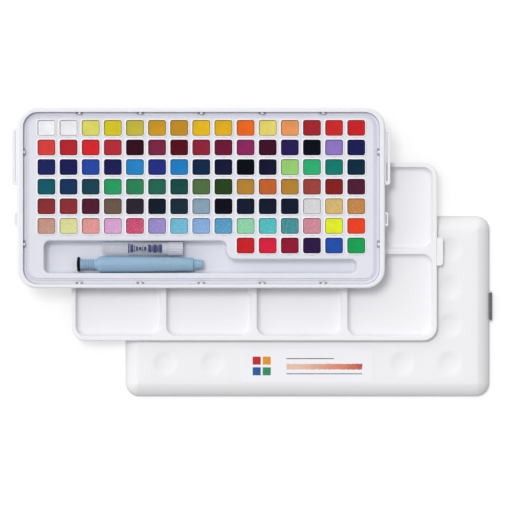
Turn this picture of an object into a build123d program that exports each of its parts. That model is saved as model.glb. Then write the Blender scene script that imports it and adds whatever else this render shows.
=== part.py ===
from build123d import *
import math
import os

# Watercolour paint set, laid out as three flat layers that step down to the right: the paint tray with 96 pans and
# a water brush lies on the mixing palette, and the palette lies on the closed face of the lid. Millimetres, +Z up.
# The origin is the middle of the set's footprint, on the surface that the lid lies on. +X runs along the long sides.

# The three layers: outline, corner radius and height of each
SET_LENGTH = 308.0
TRAY_WIDTH = 151.0
TRAY_CORNER = 16.0
TRAY_HEIGHT = 18.5
PALETTE_WIDTH = 150.0
PALETTE_CORNER = 11.5
PALETTE_HEIGHT = 7.0
LID_WIDTH = 152.5
LID_CORNER = 11.5
LID_HEIGHT = 13.0

# Where the layers lie when the set is spread out
TRAY_X = -43.6
TRAY_Y = 45.9
PALETTE_X = 0.8
PALETTE_Y = 1.1
LID_X = 45.8
LID_Y = -45.1
PALETTE_Z = LID_HEIGHT
TRAY_Z = LID_HEIGHT + PALETTE_HEIGHT

# Tray shell: thin walls and floor under a broad rim that turns inwards
TRAY_WALL = 2.0
TRAY_FLOOR = 2.0
RIM_WIDTH_SIDE = 4.6
RIM_WIDTH_LONG = 3.4
RIM_THICK = 2.5
TRAY_BOTTOM_EDGE = 1.6
LUG_OUT_LONG = 4.4
LUG_OUT_SHORT = 2.6
LUG_LONG_Y = (11.2, 58.5)
LUG_SHORT_Y = (-23.3, -11.8)
LUG_Z = (11.5, 16.5)
LUG_SLOT_WIDTH = 1.2
LUG_SLOT_END = 3.2
LUG_SLOT_END_SHORT = 1.8
CATCH_WIDTH = 3.0
CATCH_REACH = 1.5
CATCH_THICK = 1.0
CATCH_PITCH_X = 51.1
CATCH_COUNT_X = 5
CATCH_Y = 38.6

# Pan insert: a deck on a skirt, with a cell for each pan and an L-shaped trough
INSERT_GAP = 0.2
DECK_TOP = 16.0
DECK_THICK = 1.6
SKIRT_THICK = 1.4
INSERT_CORNER = 12.5
COLUMNS = 15
ROWS = 7
LAST_ROW_FIRST_COLUMN = 9
COLUMN_PITCH = 18.55
ROW_PITCH = 16.44
FIRST_ROW_Y = 58.9
TROUGH_LEFT = -133.1
TROUGH_RIGHT = 131.5
TROUGH_TOP = -34.6
TROUGH_STEP_X = 22.3
TROUGH_STEP_Y = -50.1
TROUGH_BOTTOM = -64.0
TROUGH_CORNER = 6.0
TROUGH_FLOOR_TOP = 3.2
TROUGH_WALL = 1.2
TROUGH_DRAFT = 12.0

# Pans and paint
CAKE_LENGTH = 14.9
CAKE_WIDTH = 13.2
CAKE_SINK = 1.0
PAN_WALL = 1.1
PAN_STANDS_OUT = 0.7
PAN_DEPTH = 9.2
PAN_FLOOR = 0.8
CELL_GAP = 0.1
CELL_FLOOR_THICK = 0.9

# Palette: two rows of four wells in a plate whose underside drops into the tray's rim
WELL_COLUMNS = 4
WELL_ROWS = 2
WELL_PITCH_X = 76.3
PALETTE_RIM = 3.4
DIVIDER = 3.4
WELL_DEPTH = 5.2
WELL_CORNER = 9.0
WELL_DRAFT = 20.0
CORNER_FLATS = 4
PLUG_DEPTH = 1.2
PLUG_GAP = 0.4
TAB_WIDTH = 23.7
TAB_OUT = 5.0
TAB_THICK = 1.8
TAB_DROP = 0.5
TAB_CHAMFER = 2.2

# Lid: a shell whose edges and corners are rounded to one radius, with shallow round dimples in its flat face
LID_WALL = 2.0
LID_TOP_WALL = 2.6
LID_HOLLOW_BEVEL = 6.0
DIMPLE_DIAMETER = 24.0
DIMPLE_DEPTH = 1.4
DIMPLE_FLATS = 12
DIMPLE_SLOPE = 45.0
DIMPLE_PITCH_X = 40.0
DIMPLE_PITCH_Y = 32.0
LABEL_LENGTH = 111.0
LABEL_WIDTH = 28.0
LABEL_THICK = 0.2
LABEL_Y = -50.3

# Latch flaps, folded up against the lid's short sides
FLAP_WIDTH = 23.0
FLAP_AXIS_OUT = 1.15
FLAP_AXIS_Z = 1.3
FLAP_BARREL_RADIUS = 1.0
FLAP_PLATE = 0.9
FLAP_LENGTH = 5.4
FLAP_HOOK_LENGTH = 1.2
TRUNNION_RADIUS = 0.5
TRUNNION_LENGTH = 1.5
EAR_THICK = 1.6
EAR_GAP = 0.1
EAR_OUT = 2.2
EAR_HEIGHT = 2.6
EAR_ROUND = 0.5
EAR_BORE_RADIUS = 0.55

# Water brush: the barrel lies along X with its neck to the left, the capped head lies beside it
BARREL_Y = -55.4
BARREL_LEFT = -101.9
BARREL_DIAMETER = 13.4
BARREL_TAIL_DIAMETER = 11.2
BARREL_FLATS = 24
CHAMBER_RADIUS = 4.6
CHAMBER_END = 1.5
NECK_LENGTH = 13.8
NECK_DIAMETER = 9.1
NECK_BORE_RADIUS = 3.2
SHOULDER_LENGTH = 4.1
BARREL_BODY_LENGTH = 77.4
STUB_LENGTH = 8.1
STUB_DIAMETER = 8.1
PLUG_DISC_DIAMETER = 12.5
PLUG_DISC_THICK = 2.7
PLUG_SPIGOT_RADIUS = 3.15
PLUG_SPIGOT_LENGTH = 7.0
HEAD_Y = -42.25
CAP_LEFT = -84.1
CAP_RIGHT = -28.1
CAP_DIAMETER = 11.8
CAP_WALL = 0.9
CAP_END_CHAMFER = 1.2
CAP_FIT = 0.05
COLLAR_LENGTH = 12.6
COLLAR_SPIGOT_LENGTH = 5.0
COLLAR_FLUTES = 16
COLLAR_GROOVE = 0.5
SOCKET_RADIUS = 4.65
SOCKET_DEPTH = 10.0
NOSE_LENGTH = 13.0
NOSE_BASE_RADIUS = 4.0
NOSE_TIP_RADIUS = 2.1
NOSE_FLATS = 12
TIP_LENGTH = 16.0
TIP_RADIUS = 2.0
TIP_POINT_RADIUS = 0.2
REST_GAP = 0.1


def slab(length, width, height, corner, z=0.0):
    """A flat block with rounded corners whose underside is at z."""
    return Pos(0, 0, z) * extrude(RectangleRounded(length, width, corner), height)


def block(x, y, z):
    """A box from three pairs of lower and upper limits."""
    size = [pair[1] - pair[0] for pair in (x, y, z)]
    middle = [(pair[0] + pair[1]) / 2 for pair in (x, y, z)]
    return Pos(*middle) * Box(*size)


def many_sided(length, width, corner, flats):
    """A rectangle whose corners are rounded off by a few flats each, so that a taper on it stays cheap."""
    points = []
    for quarter, (side_x, side_y) in enumerate(((1, 1), (-1, 1), (-1, -1), (1, -1))):
        centre_x = side_x * (length / 2 - corner)
        centre_y = side_y * (width / 2 - corner)
        for step in range(flats + 1):
            angle = math.pi / 2 * (quarter + step / flats)
            points.append((centre_x + corner * math.cos(angle), centre_y + corner * math.sin(angle)))
    return make_face(Polyline(*points, close=True))


def tapered_bar(radius_start, radius_end, length, sides):
    """A many-sided bar along +X from x = 0, whose radius shrinks evenly."""
    taper = math.degrees(math.atan((radius_start - radius_end) / length))
    return Rot(0, 90, 0) * extrude(RegularPolygon(radius_start, sides), length, taper=taper)


def rod(radius, start, end):
    """A round bar along X between two places."""
    return Pos((start + end) / 2, 0, 0) * Rot(0, 90, 0) * Cylinder(radius, end - start)


def turned(points):
    """A solid of revolution about the X axis from (x, radius) points."""
    outline = make_face(Polyline(*points, close=True))
    return revolve(outline, axis=Axis.X)


def pan_places(row):
    """The middle of each pan of one row, counted from 0, in the tray's own frame."""
    first = LAST_ROW_FIRST_COLUMN if row == ROWS - 1 else 0
    y = FIRST_ROW_Y - row * ROW_PITCH
    return [((column - (COLUMNS - 1) / 2) * COLUMN_PITCH, y) for column in range(first, COLUMNS)]


def lug(side, y_limits, reach, slot_end):
    """A looped lug on one short side, with a slot between its bar and the tray's wall."""
    inner = SET_LENGTH / 2 - TRAY_WALL / 2
    outer = SET_LENGTH / 2 + reach
    slot_left = SET_LENGTH / 2 + (reach - LUG_SLOT_WIDTH) / 3
    slot_y = (y_limits[0] + slot_end, y_limits[1] - slot_end)
    bar = block((inner, outer), y_limits, LUG_Z)
    corners = bar.edges().filter_by(Axis.Z).sort_by(Axis.X)[-2:]
    bar = fillet(corners, reach / 2)
    bar -= block((slot_left, slot_left + LUG_SLOT_WIDTH), slot_y, LUG_Z)
    return bar if side > 0 else mirror(bar, Plane.YZ)


def catch_places():
    """The middle of each snap catch on the rim's inner edge, and the way that it points, in degrees."""
    edge_x = SET_LENGTH / 2 - RIM_WIDTH_SIDE
    edge_y = TRAY_WIDTH / 2 - RIM_WIDTH_LONG
    places = []
    for column in range(CATCH_COUNT_X):
        x = (column - (CATCH_COUNT_X - 1) / 2) * CATCH_PITCH_X
        places.append((x, edge_y, -90))
        places.append((x, -edge_y, 90))
    for y in (CATCH_Y, -CATCH_Y):
        places.append((edge_x, y, 180))
        places.append((-edge_x, y, 0))
    return places


def snap_catch():
    """A wedge, three-cornered in plan, that reaches over the insert's edge; it points along +X from the rim."""
    half = CATCH_WIDTH / 2
    outline = Polyline((-1, -half), (0, -half), (CATCH_REACH, 0), (0, half), (-1, half), close=True)
    return Pos(0, 0, DECK_TOP) * extrude(make_face(outline), CATCH_THICK)


def make_tray_shell():
    shell = slab(SET_LENGTH, TRAY_WIDTH, TRAY_HEIGHT, TRAY_CORNER)
    shell = chamfer(shell.faces().sort_by(Axis.Z)[0].edges(), TRAY_BOTTOM_EDGE)
    hollow_top = TRAY_HEIGHT - RIM_THICK
    shell -= slab(
        SET_LENGTH - 2 * TRAY_WALL,
        TRAY_WIDTH - 2 * TRAY_WALL,
        hollow_top - TRAY_FLOOR,
        TRAY_CORNER - TRAY_WALL,
        TRAY_FLOOR,
    )
    shell -= slab(
        SET_LENGTH - 2 * RIM_WIDTH_SIDE,
        TRAY_WIDTH - 2 * RIM_WIDTH_LONG,
        TRAY_HEIGHT,
        INSERT_CORNER + INSERT_GAP,
        TRAY_FLOOR + 1,
    )
    for side in (1, -1):
        shell += lug(side, LUG_LONG_Y, LUG_OUT_LONG, LUG_SLOT_END)
        shell += lug(side, LUG_SHORT_Y, LUG_OUT_SHORT, LUG_SLOT_END_SHORT)
    for x, y, angle in catch_places():
        shell += Pos(x, y, 0) * Rot(0, 0, angle) * snap_catch()
    return shell


def trough_arms(grow, depth, corner):
    """The drafted block that fills the trough: a broad arm for the brush and a long narrow arm, joined in an L."""
    left = TROUGH_LEFT - grow
    low = TROUGH_BOTTOM - grow
    arms = []
    for right, high in ((TROUGH_STEP_X, TROUGH_TOP), (TROUGH_RIGHT, TROUGH_STEP_Y)):
        length = right + grow - left
        width = high + grow - low
        outline = RectangleRounded(length, width, corner) if corner else Rectangle(length, width)
        mouth = Pos(left + length / 2, low + width / 2, DECK_TOP) * outline
        arms.append(extrude(mouth, depth, dir=(0, 0, -1), taper=TROUGH_DRAFT))
    return arms[0] + arms[1]


def pan_block(length, width, z_low, z_high):
    """A block over the middle of each row's pans, as broad as a pan grown by the given amounts."""
    blocks = []
    for row in range(ROWS):
        places = pan_places(row)
        left = places[0][0] - length / 2
        right = places[-1][0] + length / 2
        y = places[0][1]
        blocks.append(block((left, right), (y - width / 2, y + width / 2), (z_low, z_high)))
    return blocks


def make_pan_insert():
    length = SET_LENGTH - 2 * RIM_WIDTH_SIDE - 2 * INSERT_GAP
    width = TRAY_WIDTH - 2 * RIM_WIDTH_LONG - 2 * INSERT_GAP
    insert = slab(length, width, DECK_TOP - TRAY_FLOOR, INSERT_CORNER, TRAY_FLOOR)
    insert -= slab(
        length - 2 * SKIRT_THICK,
        width - 2 * SKIRT_THICK,
        DECK_TOP - DECK_THICK - TRAY_FLOOR,
        INSERT_CORNER - SKIRT_THICK,
        TRAY_FLOOR,
    )
    cell_floor = DECK_TOP + PAN_STANDS_OUT - PAN_DEPTH
    insert += pan_block(COLUMN_PITCH, ROW_PITCH, cell_floor - CELL_FLOOR_THICK, DECK_TOP)
    insert += trough_arms(TROUGH_WALL, DECK_TOP - TRAY_FLOOR, 0)
    insert -= trough_arms(0, DECK_TOP - TROUGH_FLOOR_TOP, TROUGH_CORNER)
    cell_length = CAKE_LENGTH + 2 * PAN_WALL + 2 * CELL_GAP
    cell_width = CAKE_WIDTH + 2 * PAN_WALL + 2 * CELL_GAP
    cell = centred(cell_length, cell_width, cell_floor, DECK_TOP + 1)
    return insert - [Pos(x, y, 0) * cell for row in range(ROWS) for x, y in pan_places(row)]


def centred(length, width, z_low, z_high):
    """A block about the Z axis between two heights."""
    return block((-length / 2, length / 2), (-width / 2, width / 2), (z_low, z_high))


def make_pan():
    """One white cup that drops into its cell and stands a little proud of the deck."""
    top = DECK_TOP + PAN_STANDS_OUT
    bottom = top - PAN_DEPTH
    cup = centred(CAKE_LENGTH + 2 * PAN_WALL, CAKE_WIDTH + 2 * PAN_WALL, bottom, top)
    return cup - centred(CAKE_LENGTH, CAKE_WIDTH, bottom + PAN_FLOOR, top)


def make_cake():
    """One block of dried paint that fills its pan to a little below the rim."""
    top = DECK_TOP + PAN_STANDS_OUT
    return centred(CAKE_LENGTH, CAKE_WIDTH, top - PAN_DEPTH + PAN_FLOOR, top - CAKE_SINK)


def row_of(piece, row):
    return Compound([Pos(x, y, 0) * piece for x, y in pan_places(row)])


def make_brush_barrel():
    """The squeeze barrel: neck, shoulder, tapering body and tail stub round one water chamber."""
    body_start = NECK_LENGTH + SHOULDER_LENGTH
    body_end = body_start + BARREL_BODY_LENGTH
    radius = BARREL_DIAMETER / 2
    shoulder = tapered_bar(radius, NECK_DIAMETER / 2, SHOULDER_LENGTH, BARREL_FLATS)
    barrel = rod(NECK_DIAMETER / 2, 0, body_start)
    barrel += Pos(body_start, 0, 0) * mirror(shoulder, Plane.YZ)
    barrel += Pos(body_start, 0, 0) * tapered_bar(radius, BARREL_TAIL_DIAMETER / 2, BARREL_BODY_LENGTH, BARREL_FLATS)
    barrel += rod(STUB_DIAMETER / 2, body_end, body_end + STUB_LENGTH)
    barrel -= rod(NECK_BORE_RADIUS, 0, body_start)
    return barrel - rod(CHAMBER_RADIUS, body_start, body_end - CHAMBER_END)


def make_reservoir_plug():
    """The black stopper: a disc outside the neck and a spigot in its bore."""
    outline = [
        (-PLUG_DISC_THICK, 0),
        (-PLUG_DISC_THICK, PLUG_DISC_DIAMETER / 2),
        (0, PLUG_DISC_DIAMETER / 2),
        (0, PLUG_SPIGOT_RADIUS),
        (PLUG_SPIGOT_LENGTH, PLUG_SPIGOT_RADIUS),
        (PLUG_SPIGOT_LENGTH, 0),
    ]
    return turned(outline)


def make_brush_collar():
    """The fluted grip that screws on the barrel's neck, with the spigot that the cap pushes on."""
    points = []
    for corner in range(2 * COLLAR_FLUTES):
        radius = CAP_DIAMETER / 2 - (corner % 2) * COLLAR_GROOVE
        angle = math.pi * corner / COLLAR_FLUTES
        points.append((radius * math.cos(angle), radius * math.sin(angle)))
    along = Rot(0, 90, 0)
    grip = along * extrude(make_face(Polyline(*points, close=True)), COLLAR_LENGTH)
    spigot_radius = CAP_DIAMETER / 2 - CAP_WALL - CAP_FIT
    grip += Pos(-COLLAR_SPIGOT_LENGTH / 2, 0, 0) * along * Cylinder(spigot_radius, COLLAR_SPIGOT_LENGTH)
    return grip - Pos(COLLAR_LENGTH - SOCKET_DEPTH / 2, 0, 0) * along * Cylinder(SOCKET_RADIUS, SOCKET_DEPTH)


def make_brush_nose():
    """The cone that feeds water to the tip; it reaches left from the collar's spigot."""
    nose = tapered_bar(NOSE_BASE_RADIUS, NOSE_TIP_RADIUS, NOSE_LENGTH, NOSE_FLATS)
    return Pos(-COLLAR_SPIGOT_LENGTH, 0, 0) * mirror(nose, Plane.YZ)


def make_bristle_tip():
    """The pointed tuft of filaments, kept under the cap."""
    tuft = tapered_bar(TIP_RADIUS, TIP_POINT_RADIUS, TIP_LENGTH, NOSE_FLATS)
    return Pos(-COLLAR_SPIGOT_LENGTH - NOSE_LENGTH, 0, 0) * mirror(tuft, Plane.YZ)


def make_brush_cap():
    """The clear cap: a tube with a bevelled closed end that pushes on the collar's spigot."""
    length = CAP_RIGHT - CAP_LEFT
    outer = CAP_DIAMETER / 2
    inner = outer - CAP_WALL
    outline = [
        (0, inner),
        (0, outer),
        (-length + CAP_END_CHAMFER, outer),
        (-length, outer - CAP_END_CHAMFER),
        (-length, 0),
        (-length + 2 * CAP_WALL, 0),
        (-length + 2 * CAP_WALL, inner),
    ]
    return turned(outline)


def palette_wells():
    """The middle of each mixing well, in the palette's own frame."""
    pitch_y = well_size()[1] + DIVIDER
    places = []
    for row in range(WELL_ROWS):
        for column in range(WELL_COLUMNS):
            x = (column - (WELL_COLUMNS - 1) / 2) * WELL_PITCH_X
            y = (row - (WELL_ROWS - 1) / 2) * pitch_y
            places.append((x, y))
    return places


def well_size():
    """Length and width of a well at its mouth."""
    length = WELL_PITCH_X - DIVIDER
    width = (PALETTE_WIDTH - 2 * PALETTE_RIM - DIVIDER) / WELL_ROWS
    return length, width


def palette_tab(side):
    """A thin finger tab in the middle of a short side, with cut corners."""
    top = PALETTE_HEIGHT - TAB_DROP
    inner = SET_LENGTH / 2 - PALETTE_RIM
    outer = SET_LENGTH / 2 + TAB_OUT
    tab = block((inner, outer), (-TAB_WIDTH / 2, TAB_WIDTH / 2), (top - TAB_THICK, top))
    tab = chamfer(tab.edges().filter_by(Axis.Z).sort_by(Axis.X)[-2:], TAB_CHAMFER)
    return tab if side > 0 else mirror(tab, Plane.YZ)


def make_palette():
    flange = slab(SET_LENGTH, PALETTE_WIDTH, PALETTE_HEIGHT - PLUG_DEPTH, PALETTE_CORNER, PLUG_DEPTH)
    plug_length = SET_LENGTH - 2 * RIM_WIDTH_SIDE - 2 * PLUG_GAP
    plug_width = TRAY_WIDTH - 2 * RIM_WIDTH_LONG - 2 * PLUG_GAP
    palette = flange + slab(plug_length, plug_width, PLUG_DEPTH, PALETTE_CORNER)
    palette += [palette_tab(1), palette_tab(-1)]
    length, width = well_size()
    mouth = many_sided(length, width, WELL_CORNER, CORNER_FLATS)
    well = extrude(Pos(0, 0, PALETTE_HEIGHT) * mouth, WELL_DEPTH, dir=(0, 0, -1), taper=WELL_DRAFT)
    return palette - [Pos(x, y, 0) * well for x, y in palette_wells()]


def dimple_places():
    """Dimples in a ring: seven along the back, four down each short side, and two at each end of the front."""
    rows = [-1.5, -0.5, 0.5, 1.5]
    columns = [-3, -2, -1, 0, 1, 2, 3]
    places = []
    for row in rows:
        for column in columns:
            back = row == rows[-1]
            end = abs(column) == columns[-1]
            front_pair = row == rows[0] and abs(column) == 2
            if back or end or front_pair:
                places.append((column * DIMPLE_PITCH_X, row * DIMPLE_PITCH_Y))
    return places


def dimple():
    """The shallow dish that one dimple takes out of a flat face at z = 0, with a sloping wall of flats."""
    mouth = RegularPolygon(DIMPLE_DIAMETER / 2, DIMPLE_FLATS)
    return extrude(mouth, DIMPLE_DEPTH, dir=(0, 0, -1), taper=DIMPLE_SLOPE)


def lid_ears(side):
    """Two small ears on one short side, bored for a flap's trunnions."""
    face = SET_LENGTH / 2
    pair = []
    for way in (1, -1):
        near = FLAP_WIDTH / 2 + EAR_GAP
        limits = sorted((way * near, way * (near + EAR_THICK)))
        ear = block((face - LID_WALL / 2, face + EAR_OUT), limits, (0, EAR_HEIGHT))
        outer_edges = ear.edges().filter_by(Axis.Y).sort_by(Axis.X)[-2:]
        ear = fillet(outer_edges, EAR_ROUND)
        middle = Pos(face + FLAP_AXIS_OUT, way * (near + EAR_THICK / 2), FLAP_AXIS_Z)
        ear -= middle * Rot(90, 0, 0) * Cylinder(EAR_BORE_RADIUS, 2 * EAR_THICK)
        pair.append(ear if side > 0 else mirror(ear, Plane.YZ))
    return pair


def make_lid():
    lid = centred(SET_LENGTH, LID_WIDTH, 0, LID_HEIGHT)
    outer_edges = lid.edges().filter_by(Axis.Z) + lid.faces().sort_by(Axis.Z)[-1].edges()
    lid = fillet(outer_edges, LID_CORNER)
    hollow_height = LID_HEIGHT - LID_TOP_WALL
    hollow = slab(SET_LENGTH - 2 * LID_WALL, LID_WIDTH - 2 * LID_WALL, hollow_height, LID_CORNER - LID_WALL)
    lid -= chamfer(hollow.faces().sort_by(Axis.Z)[-1].edges(), LID_HOLLOW_BEVEL)
    lid -= [Pos(x, y, LID_HEIGHT) * dimple() for x, y in dimple_places()]
    return lid + lid_ears(1) + lid_ears(-1)


def make_lid_label():
    return centred(LABEL_LENGTH, LABEL_WIDTH, LID_HEIGHT, LID_HEIGHT + LABEL_THICK)


def make_lid_flap(side):
    """A latch flap folded up: barrel and trunnions on the hinge line, a thin plate, and a hook at its free edge."""
    inner = -FLAP_BARREL_RADIUS
    outer = inner + FLAP_PLATE
    hook_low = FLAP_LENGTH - FLAP_HOOK_LENGTH
    half = FLAP_WIDTH / 2
    flap = Rot(90, 0, 0) * Cylinder(FLAP_BARREL_RADIUS, FLAP_WIDTH)
    flap += block((inner, outer), (-half, half), (0, FLAP_LENGTH))
    hook = block((inner, FLAP_BARREL_RADIUS), (-half, half), (hook_low, FLAP_LENGTH))
    tip_edge = hook.edges().filter_by(Axis.Y).group_by(Axis.X)[-1].sort_by(Axis.Z)[0]
    flap += chamfer(tip_edge, FLAP_HOOK_LENGTH / 3)
    flap += Rot(90, 0, 0) * Cylinder(TRUNNION_RADIUS, FLAP_WIDTH + 2 * TRUNNION_LENGTH)
    flap = Pos(SET_LENGTH / 2 + FLAP_AXIS_OUT, 0, FLAP_AXIS_Z) * flap
    return flap if side > 0 else mirror(flap, Plane.YZ)


def write(name, shape):
    export_step(shape, f"parts/{name}.step")


def main():
    os.makedirs("parts", exist_ok=True)
    in_tray = Pos(TRAY_X, TRAY_Y, TRAY_Z)
    write("base_shell", in_tray * make_tray_shell())
    write("pan_tray", in_tray * make_pan_insert())
    pan = make_pan()
    cake = make_cake()
    for row in range(ROWS):
        write(f"pans_row_{row + 1}", in_tray * row_of(pan, row))
        write(f"paints_row_{row + 1}", in_tray * row_of(cake, row))

    barrel_z = TROUGH_FLOOR_TOP + BARREL_DIAMETER / 2 + REST_GAP
    barrel_place = in_tray * Pos(BARREL_LEFT, BARREL_Y, barrel_z)
    write("brush_barrel", barrel_place * make_brush_barrel())
    write("reservoir_plug", barrel_place * make_reservoir_plug())

    head_z = TROUGH_FLOOR_TOP + CAP_DIAMETER / 2 + REST_GAP
    head_place = in_tray * Pos(CAP_RIGHT, HEAD_Y, head_z)
    write("brush_collar", head_place * make_brush_collar())
    write("brush_nose", head_place * make_brush_nose())
    write("bristle_tip", head_place * make_bristle_tip())
    write("brush_cap", head_place * make_brush_cap())

    write("mixing_palette", Pos(PALETTE_X, PALETTE_Y, PALETTE_Z) * make_palette())

    on_lid = Pos(LID_X, LID_Y, 0)
    write("lid_shell", on_lid * make_lid())
    write("lid_label", on_lid * Pos(0, LABEL_Y, 0) * make_lid_label())
    write("lid_clip_right", on_lid * make_lid_flap(1))
    write("lid_clip_left", on_lid * make_lid_flap(-1))


if __name__ == "__main__":
    main()
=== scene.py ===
import math

import bmesh
import bpy
from mathutils import Matrix, Vector


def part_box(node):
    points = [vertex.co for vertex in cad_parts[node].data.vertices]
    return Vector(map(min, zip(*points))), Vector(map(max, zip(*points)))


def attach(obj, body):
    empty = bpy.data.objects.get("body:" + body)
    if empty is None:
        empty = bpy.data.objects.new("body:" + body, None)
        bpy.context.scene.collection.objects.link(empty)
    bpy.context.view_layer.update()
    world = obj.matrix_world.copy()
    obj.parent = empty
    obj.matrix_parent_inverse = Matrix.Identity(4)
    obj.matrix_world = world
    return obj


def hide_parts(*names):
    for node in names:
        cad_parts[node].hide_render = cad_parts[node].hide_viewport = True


# The looks of the watercolour set. Each shape is drawn in millimetres about the middle of its own layer,
# then scaled to metres and put in place.

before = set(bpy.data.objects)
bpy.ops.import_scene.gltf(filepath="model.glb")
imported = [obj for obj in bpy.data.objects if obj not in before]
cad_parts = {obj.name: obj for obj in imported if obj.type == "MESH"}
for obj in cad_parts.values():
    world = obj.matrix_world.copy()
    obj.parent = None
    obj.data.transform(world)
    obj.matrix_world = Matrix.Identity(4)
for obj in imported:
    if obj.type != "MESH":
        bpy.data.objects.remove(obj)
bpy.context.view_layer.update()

MM = 0.001
X_AXIS = (1, 0, 0)
Y_AXIS = (0, 1, 0)
TINY = 0.001


def layer_place(node):
    """The middle of a layer's footprint, at its underside."""
    low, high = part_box(node)
    return Vector(((low[0] + high[0]) / 2, (low[1] + high[1]) / 2, low[2]))


TRAY = layer_place("base_shell")
PALETTE = layer_place("mixing_palette")
LID = layer_place("lid_shell")

SET_LENGTH = 308.0

# Tray
TRAY_WIDTH = 151.0
TRAY_CORNER = 16.0
TRAY_HEIGHT = 18.5
RIM_SIDE = 4.6
RIM_LONG = 3.4
RIM_ROUND = 1.5
RIM_LIP = 0.4
TRAY_FLOOR = 2.0
TRAY_BOTTOM_EDGE = 1.6

# Lugs on the tray's short sides: lower and upper end across the tray, reach, and length of the arms
LUGS = ((11.2, 58.5, 4.4, 3.2), (-23.3, -11.8, 2.6, 1.8))
LUG_BOTTOM = 11.5
LUG_TOP = 16.5
LUG_SLOT = 0.8
LUG_ROOT = 1.0
LUG_EDGE = 0.35

# Snap catches round the inside of the rim, with a pocket in the insert under each
CATCH_PITCH = 51.1
CATCH_SIDE_Y = 38.6
CATCH_REACH = 2.0
CATCH_HALF_WIDTH = 1.5
CATCH_THICK = 1.2
CATCH_ROOT = 0.5
POCKET_LENGTH = 6.0
POCKET_REACH = 3.0
POCKET_DEPTH = 2.4

# Insert
DECK = 16.0
INSERT_LENGTH = 298.4
INSERT_WIDTH = 143.8
INSERT_CORNER = 12.5
INSERT_GAP = 0.1
CELL_LENGTH = 17.12
CELL_WIDTH = 15.42
CELL_FLOOR = 7.5

# The insert's border climbs to the deck over two soft risers, each step as (inward, upward)
BORDER_DROP = 2.6
BORDER_EDGE = 1.6
BORDER_RISER = ((0.2, 0.15), (0.3, 1.0), (0.2, 0.15))
BORDER_STEPS = ((0.8, 0), *BORDER_RISER, (1.0, 0), *BORDER_RISER)

# Trough
TROUGH_OUTLINE = (
    (-133.1, -64.0), (131.5, -64.0), (131.5, -50.1), (22.3, -50.1), (22.3, -34.6), (-133.1, -34.6)
)
TROUGH_CORNER = 6.0
TROUGH_FLOOR = 3.2
TROUGH_LIP = 1.2
TROUGH_ROUND = 4.4
TROUGH_SLOPE = 88.0

# Pans
COLUMNS = 15
ROWS = 7
LAST_ROW_FIRST = 9
PITCH_X = 18.55
PITCH_Y = 16.44
FIRST_ROW_Y = 58.9
CUP_LENGTH = 17.1
CUP_WIDTH = 15.4
CUP_CORNER = 2.9
CUP_TOP = 16.7
CUP_BOTTOM = 7.5
CUP_FLOOR = 0.8
CUP_RIM = 0.6
CUP_RIM_STEPS = ((0.3, 0.5), (0.2, 0.1), (0.33, 0), (0.17, -0.08), (0.1, -0.3))
CUP_LIP_DROP = 0.38
CAKE_LENGTH = 14.9
CAKE_WIDTH = 13.2
CAKE_CORNER = 1.85
CAKE_GAP = 0.04
CAKE_TOP = 15.7
CAKE_BOTTOM = 8.3
CAKE_ROUND = 0.9
CAKE_EDGE_STEPS = ((0.22, 0.5), (0.34, 0.22))
CAKE_TOP_STEPS = ((0.4, 0.15), (0.35, 0.03))
CAKE_DISH = 0.16
CAKE_DISH_SHARE = 0.6
EDGE_SHADE = 0.5
NUMBER_SIZE = 1.3
NUMBER_SPACING = 2.0
NUMBER_RAISED = 0.01
NUMBER_CLEAR = 0.02

# Brush profiles as (distance from the left end, radius)
NECK_RIM = ((0, 3.2), (0, 4.3), (0.3, 4.5), (2.2, 4.5), (2.5, 4.2))
BARREL_BODY = (
    (13.6, 4.3), (14.2, 4.7), (15.0, 5.5), (16.0, 6.2), (17.2, 6.6), (18.6, 6.7), (30, 6.7), (52, 6.62),
    (72, 6.2), (90, 5.72), (94.0, 5.6), (94.9, 5.45), (95.25, 5.0), (95.3, 4.15),
)
BARREL_STUB = ((95.5, 4.02), (101.6, 3.9), (102.7, 3.6), (103.2, 3.1), (103.4, 2.2), (103.4, 0))
BARREL_CHAMBER = ((93.6, 0), (93.6, 4.4), (92, 4.6), (18.2, 4.6), (17.6, 3.2), (0, 3.2))
STOPPER_DISC = (
    (0, 0), (0, 2.6), (0.25, 3.0), (0.25, 5.4), (0.6, 6.0), (1.2, 6.25), (1.9, 6.2), (2.4, 5.8), (2.7, 5.0),
)
STOPPER_SPIGOT = (
    (2.7, 3.15), (4.6, 3.1), (4.8, 3.15), (5.4, 3.15), (5.6, 3.05), (7.4, 3.05), (7.6, 3.15), (8.2, 3.15),
    (8.4, 3.0), (9.4, 2.9), (9.7, 2.5), (9.7, 0),
)
COLLAR_OUTSIDE = (
    (0, 0), (0, 4.6), (0.3, 4.95), (5.0, 4.95), (5.0, 5.55), (5.4, 5.9), (16.9, 5.9), (17.5, 5.6),
    (17.6, 5.2),
)
COLLAR_SOCKET = ((17.6, 4.65), (7.8, 4.65), (7.6, 4.4), (7.6, 0))
NOSE_OUTLINE = (
    (0, 0), (0, 1.6), (0.4, 2.0), (2.2, 2.15), (2.6, 2.5), (6, 2.9), (11, 3.7), (12.4, 4.0), (13, 4.0),
    (13, 0),
)
TIP_OUTLINE = (
    (0, 0), (0.3, 0.12), (1.5, 0.42), (4, 0.98), (7, 1.52), (10, 1.86), (13, 1.98), (16, 1.7), (16, 0)
)
CAP_RADIUS = 5.9
CAP_OUTSIDE = (
    (0, 0), (0, 3.4), (0.15, 4.2), (0.6, 5.0), (1.4, 5.6), (2.6, 5.85), (4, CAP_RADIUS), (55.6, CAP_RADIUS),
    (56, 5.7),
)
CAP_INSIDE = ((56, 5.02), (54, 5.0), (4, 5.0), (2.6, 4.7), (1.9, 3.6), (1.8, 2.4), (1.8, 0))

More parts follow.
